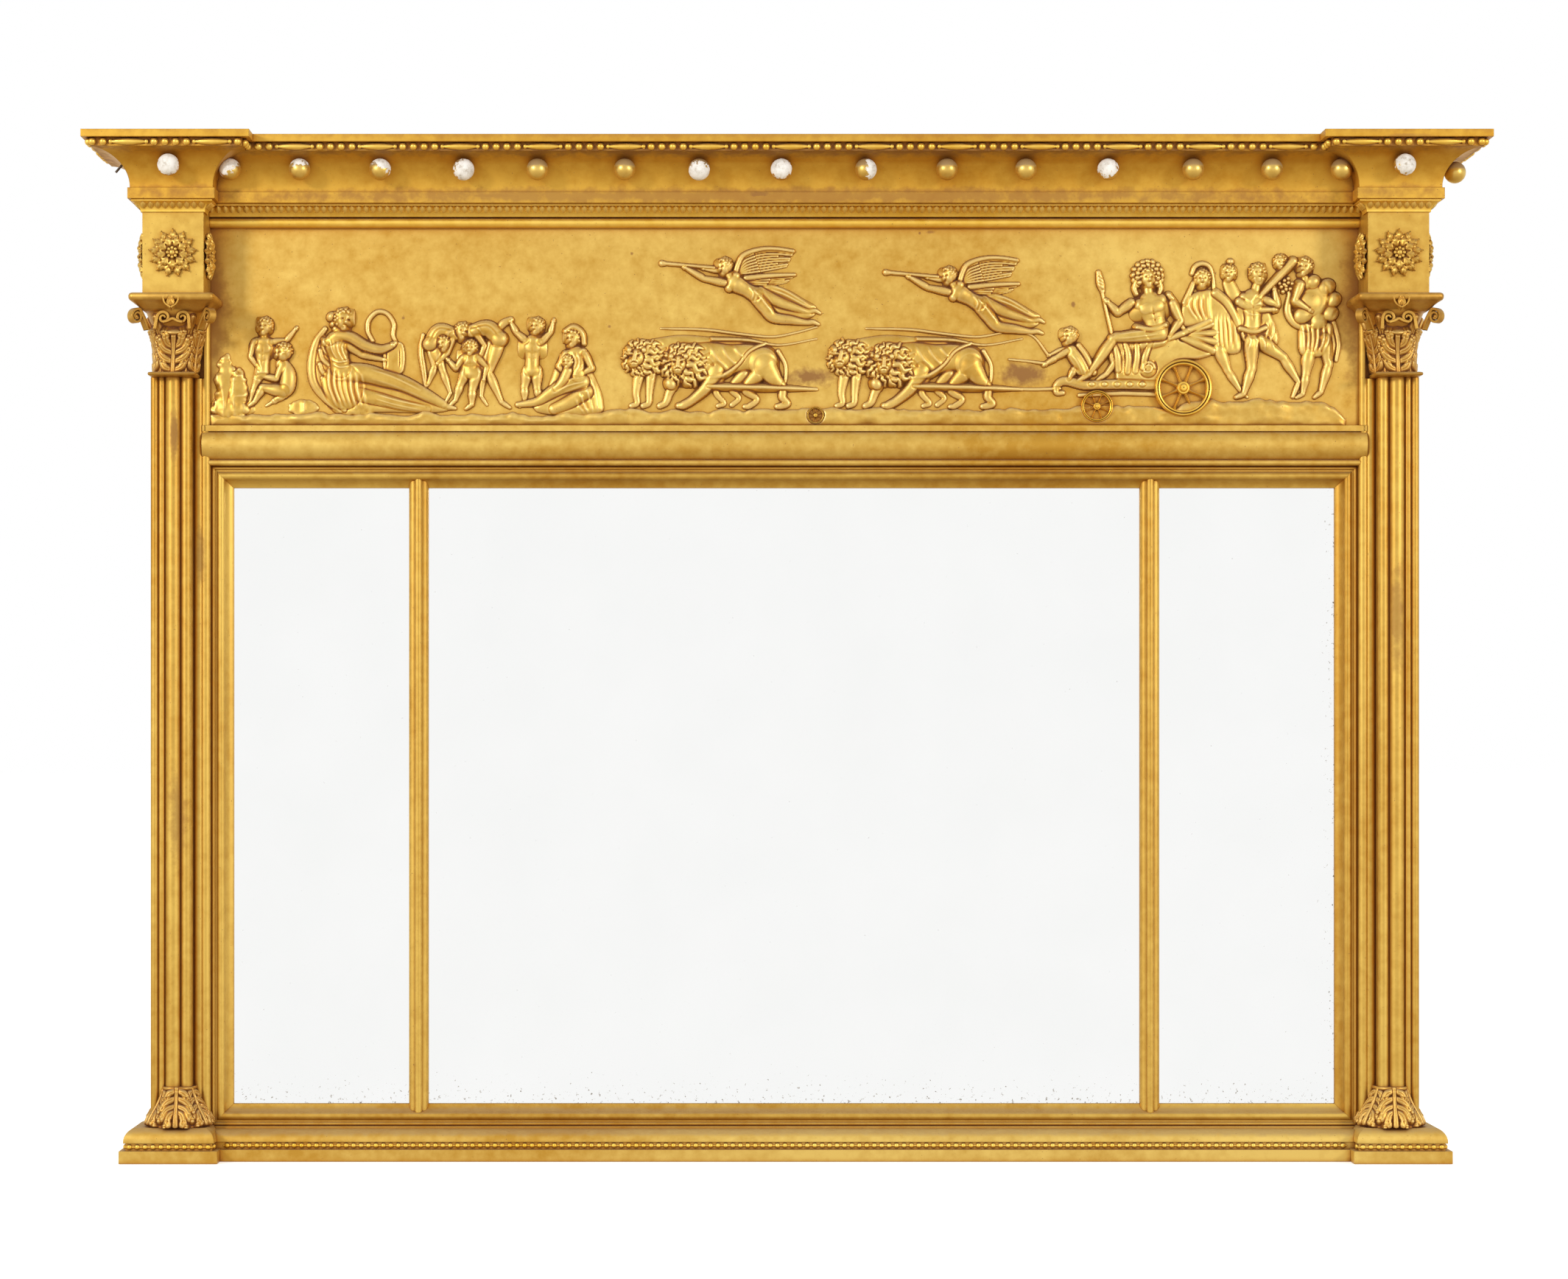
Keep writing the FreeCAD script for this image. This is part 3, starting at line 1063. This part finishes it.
DANCER_LIMB_SHARES = (
    # three bent children under a bundle
    (-38, 45, 4, -22, 49, 4.5), (-22, 49, 4.5, -2, 46, 4), (-33, 45, 4.4, -32.5, 43, 4),
    (-38, 42, 2, -43, 36, 1.6), (-43, 36, 1.6, -41, 20, 1.3), (-33, 40, 4.2, -28, 31, 3.8),
    (-27, 28, 2.8, -27.5, 12, 1.8), (-23, 41, 4.4, -21, 30, 4.4), (-18.5, 28, 2.8, -19, 9.5, 1.8),
    (-13, 48, 4.4, -12.5, 46, 4), (-13, 40, 4.8, -12, 30, 4.4), (-11, 29, 3.2, -1, 10, 2),
    (-14, 28, 2.8, -10, 12, 1.8),
    # standing child with raised arms
    (16.5, 50, 4.4, 16, 48, 3.8), (14.5, 42, 4.2, 12.5, 30, 4), (13, 45, 2, 6, 49, 1.7),
    (6, 49, 1.7, 1, 53, 1.4), (4, 55.5, 1.8, 12, 53.5, 1.6), (12, 29, 3.2, 11, 16, 1.9),
    (16, 30, 3, 14.5, 17, 1.9),
    # seated draped woman with a child
    (33, 44, 4.6, 32.5, 42.5, 4.2), (36, 37, 5, 36, 22, 7), (36, 18, 7.5, 26, 16, 5),
    (26, 16, 5, 11, 12, 3), (11, 12, 3, 5, 11, 1.8), (28, 12, 5, 42, 9, 5.5),
    (31, 30.5, 3.8, 30.8, 29.5, 3.5), (30, 25, 3.4, 28, 18, 3),
)
LION_PLACE_SHARES = (0.428, 0.607)
LION_LIMB_SHARES = (
    # nearer lion
    (-11, 29, 5.5, -10, 33, 6.5), (-6, 35, 9.5, -2, 32, 10), (-2, 34, 10, 26, 31, 9),
    (26, 31, 9, 31, 31, 9.5), (34, 26, 6, 40, 18, 3.4), (40, 18, 3.4, 39, 12, 2.4),
    (1, 24, 6, -6, 11.5, 3), (-6, 11.5, 3, -11, 9.5, 2.2), (37, 36, 1.2, 41, 24, 1.2),
    # further lion
    (-34, 32, 5.2, -33, 37, 6), (-26, 39, 8, -20, 38, 7.5), (-28, 27, 4.4, -28.5, 12, 2.4),
    (-34, 24, 3, -34.5, 12, 2.2), (-18, 20, 3, -19, 10, 2.4),
    # pole and reins
    (10, 19, 1.2, 75, 19.5, 1.2), (-18, 49.5, 0.8, 12, 47, 0.8), (12, 47, 0.8, 44, 46.5, 0.8),
    (44, 46.5, 0.8, 64, 50, 0.8), (5, 43.5, 0.8, 32, 43.8, 0.8), (32, 43.8, 0.8, 62, 40, 0.8),
)
WINGED_PLACE_SHARES = (0.471, 0.6655)
WINGED_DROP_SHARES = (0.0, 0.046)
WINGED_LIMB_SHARES = (
    (-15, 80.5, 4.2, -15.5, 78.5, 3.6), (-12, 72, 4.6, -3, 67, 4.8), (-3, 67, 4.8, 5, 62, 4.6),
    (5, 60, 4.4, 17, 54, 3.2), (17, 54, 3.2, 30, 51.5, 1.8), (8, 64, 3.6, 24, 58.5, 3.2),
    (24, 58.5, 3.2, 34, 57.5, 1.6), (-16, 73, 1.9, -27, 74.5, 1.6), (-27, 74.5, 1.6, -36, 79, 1.4),
    (-20, 79, 1, -45, 81.8, 1.9), (-8, 77, 3.4, 2, 83.5, 4.6), (2, 83.5, 4.6, 22, 86, 2.2),
    (-2, 78.5, 3.6, 14, 81, 3), (-6, 74, 1.6, 21, 75, 1.6),
)
CHARIOT_PLACE_SHARE = 0.797
CHARIOT_LIMB_SHARES = (
    # charioteer
    (-29.5, 45.5, 4.4, -29.7, 44, 4), (-27, 38.5, 3.6, -23.5, 30, 4), (-31, 38, 2, -37, 36, 1.6),
    (-37, 36, 1.6, -41, 33, 1.4), (-24, 40, 1.9, -22, 44, 1.6), (-24, 28, 4, -31, 22, 3),
    (-31, 22, 3.4, -34, 18, 2.4),
    # seated god with a staff
    (8.5, 77, 6, 8.5, 73, 5.2), (9, 61.5, 7.6, 9, 48, 7), (1, 61, 3, -9, 60.5, 2.3),
    (-9, 60.5, 2.3, -13, 63.5, 1.9), (-15.5, 78, 1.5, -9.5, 46.5, 1), (18, 62, 3.2, 24, 56, 2.5),
    (24, 56, 2.5, 21, 47.5, 2.2), (9, 45, 6.4, -8, 43, 5.2), (-8, 43, 5.2, -19, 28, 3.4),
    (-19, 28, 3.4, -22, 21.5, 2.2), (9, 42, 6, 4, 31, 4.6), (4, 31, 4.6, -2, 24, 3),
    # chariot body
    (-36, 19.5, 3.6, -20, 22, 4), (-22, 18.5, 2.4, 15, 18.5, 2.4), (-15, 24, 4, 5, 22, 4.4),
    (10, 36, 4.4, 40, 40, 4.6), (25, 46.5, 3, 42, 50, 2.2), (34, 44.5, 5.6, 38, 44, 5.6),
    (15, 26, 5, 12, 36, 5), (-6, 14, 2.4, 12, 12, 2.4),
)
FOLLOWER_PLACE_SHARE = 0.917
FOLLOWER_LIMB_SHARES = (
    # two behind the chariot
    (-33, 75, 4.4, -33, 73, 3.8), (-32, 65, 5.6, -32, 56, 5.4), (-20, 78, 4.4, -20, 76, 3.8),
    (-24, 67, 4.6, -20, 58, 5.4), (-21, 60, 4.4, -17, 47, 4), (-25, 36, 4.4, -24, 55, 6),
    (-22, 34, 3, -16, 25, 2.6), (-16, 25, 2.6, -11.5, 14, 2),
    # striding man with a club
    (-5, 78.5, 4.6, -5, 76.5, 4), (-5, 66, 6.4, -4, 47, 6), (-12, 62, 3, 2, 58.5, 2.6),
    (-9, 62, 1.5, 13, 83.5, 2.3), (3, 64, 3.2, 10, 68, 2.4), (-7, 43, 5, -11, 30, 3.8),
    (-11, 30, 3.8, -12, 15, 2.2), (0, 42, 5, 14, 29, 3.6), (14, 29, 3.6, 15, 19, 2.2),
    (2, 56, 3.4, 4, 42, 4), (7, 83.5, 3.6, 7, 82, 3.4),
    # right-hand figure with a bundle
    (19, 81, 4.6, 19, 79, 4), (24, 64, 9.5, 29, 61, 8), (12, 67, 4.2, 11, 55, 4.6),
    (11, 55, 4.6, 14, 44, 4.4), (25, 50, 6.4, 26, 36, 5.4), (27, 33, 3.6, 27, 14, 2.2),
    (33, 47, 2.8, 35.5, 33, 2), (18, 40, 4.2, 21, 30, 3.4),
)
GROUND_SHARES = ((0.008, 0.050, 0.19), (0.23, 0.044, 0.30), (0.33, 0.048, 0.50), (0.545, 0.048, 0.66),
                 (0.69, 0.044, 0.735), (0.80, 0.040, 0.83), (0.885, 0.052, 0.975))
GROUND_R_SHARE = 0.038
LARGE_WHEEL_SHARES = (0.847, 0.19)
SMALL_WHEEL_SHARES = (0.772, 0.097)
TINY_WHEEL_SHARES = (0.527, 0.052)

frieze_w = X_STRIP * 2
up = FRIEZE_H * HUNDREDTH_SHARE
across = frieze_w / FRIEZE_ACROSS_SHARE
around = (up + across) / 2


def limb(x0, z0, r0, x1, z1, r1):
    """One limb of the relief: it stands out further where it is thicker."""
    face = capsule(x0, z0, r0, x1, z1, r1, lambda x, z: V(x, -BOARD_D, z))
    return face.extrude(V(0, -RELIEF_T - max(r0, r1) * RELIEF_SWELL_SHARE, 0))


def figure(limbs, place, drop):
    """Limbs of one group as solids on the board."""
    x = place * frieze_w - X_STRIP
    z = Z_FRIEZE - drop * FRIEZE_H
    made = []
    for x0, z0, r0, x1, z1, r1 in limbs:
        first = (x + x0 * across, z + z0 * up, r0 * around)
        last = (x + x1 * across, z + z1 * up, r1 * around)
        made.append(limb(*first, *last))
    return made


def wheel_place(shares):
    """Centre of a wheel on the face of the board."""
    return V(shares[0] * frieze_w - X_STRIP, -BOARD_D, Z_FRIEZE + shares[1] * FRIEZE_H)


def wheel(shares, radius, size_share):
    """Spoked wheel with open gaps."""
    centre = wheel_place(shares)
    rim = Part.makeCylinder(radius, WHEEL_T, centre, FRONT_WAY)
    inner_start = centre + Y_WAY * OVERRUN / 2
    rim = rim.cut(Part.makeCylinder(radius - RIM_W * size_share, WHEEL_T + OVERRUN, inner_start, FRONT_WAY))
    parts = [rim, Part.makeCylinder(HUB_R * size_share, WHEEL_T, centre, FRONT_WAY)]
    half = SPOKE_W * size_share / 2
    long = radius - RIM_W * size_share / 2
    for i in range(SPOKE_COUNT):
        spoke = Part.makeBox(long, WHEEL_T * 3 / 4, half * 2, V(0, -WHEEL_T * 3 / 4, -half))
        spoke.rotate(V(0, 0, 0), Y_WAY, (i + 0.5) * FULL_TURN / SPOKE_COUNT)
        spoke.translate(centre)
        parts.append(spoke)
    return fused(parts)


small_share = SMALL_WHEEL_R / LARGE_WHEEL_R
tiny_share = TINY_WHEEL_R / LARGE_WHEEL_R
WHEELS = ((LARGE_WHEEL_SHARES, LARGE_WHEEL_R, 1), (SMALL_WHEEL_SHARES, SMALL_WHEEL_R, small_share),
          (TINY_WHEEL_SHARES, TINY_WHEEL_R, tiny_share))
keep("chariot_wheels", Part.makeCompound([wheel(*sizes) for sizes in WHEELS]))
wheel_room = []
for shares, radius, _ in WHEELS:
    start = wheel_place(shares) + Y_WAY * OVERRUN
    wheel_room.append(Part.makeCylinder(radius + WHEEL_CLEARANCE, OVERRUN * 3, start, FRONT_WAY))
wheel_room = Part.makeCompound(wheel_room)
groups = (
    ("relief_chariot", figure(CHARIOT_LIMB_SHARES, CHARIOT_PLACE_SHARE, 0)),
    ("relief_followers", figure(FOLLOWER_LIMB_SHARES, FOLLOWER_PLACE_SHARE, 0)),
    ("relief_lions_right", figure(LION_LIMB_SHARES, LION_PLACE_SHARES[1], 0)),
    ("relief_lions_left", figure(LION_LIMB_SHARES, LION_PLACE_SHARES[0], 0)),
    ("relief_winged_right", figure(WINGED_LIMB_SHARES, WINGED_PLACE_SHARES[1], WINGED_DROP_SHARES[1])),
    ("relief_winged_left", figure(WINGED_LIMB_SHARES, WINGED_PLACE_SHARES[0], WINGED_DROP_SHARES[0])),
    ("relief_dancers", figure(DANCER_LIMB_SHARES, DANCERS_PLACE_SHARE, 0)),
    ("relief_music", figure(MUSIC_LIMB_SHARES, MUSIC_PLACE_SHARE, 0)),
)
relief = {}
taken = [wheel_room]
for name, limbs in groups:
    made = fused(limbs)
    for other in taken:
        if made.BoundBox.intersect(other.BoundBox):
            made = made.cut(other)
    relief[name] = made
    taken.append(made)
ground_limbs = []
for start, level, end in GROUND_SHARES:
    r = GROUND_R_SHARE * FRIEZE_H
    z = Z_FRIEZE + level * FRIEZE_H
    ground_limbs.append(limb(start * frieze_w - X_STRIP + r, z, r, end * frieze_w - X_STRIP, z, r))
ground = []
for strip_solid in ground_limbs:
    for other in taken:
        if strip_solid.BoundBox.intersect(other.BoundBox):
            strip_solid = strip_solid.cut(other)
    ground.append(strip_solid)
keep("relief_ground", Part.makeCompound(ground))
for name in ("relief_music", "relief_dancers", "relief_chariot", "relief_followers"):
    keep(name, relief[name])
for name, kind in (("relief_lion_teams", "relief_lions"), ("relief_winged_figures", "relief_winged")):
    keep(name, Part.makeCompound([relief[kind + "_left"], relief[kind + "_right"]]))

# Write every piece
os.makedirs("parts", exist_ok=True)
for name, shape in NODES.items():
    shape.exportStep("parts/" + name + ".step")
    print(name, len(shape.Solids), shape.isValid(), round(shape.Volume / 1000.0, 1))
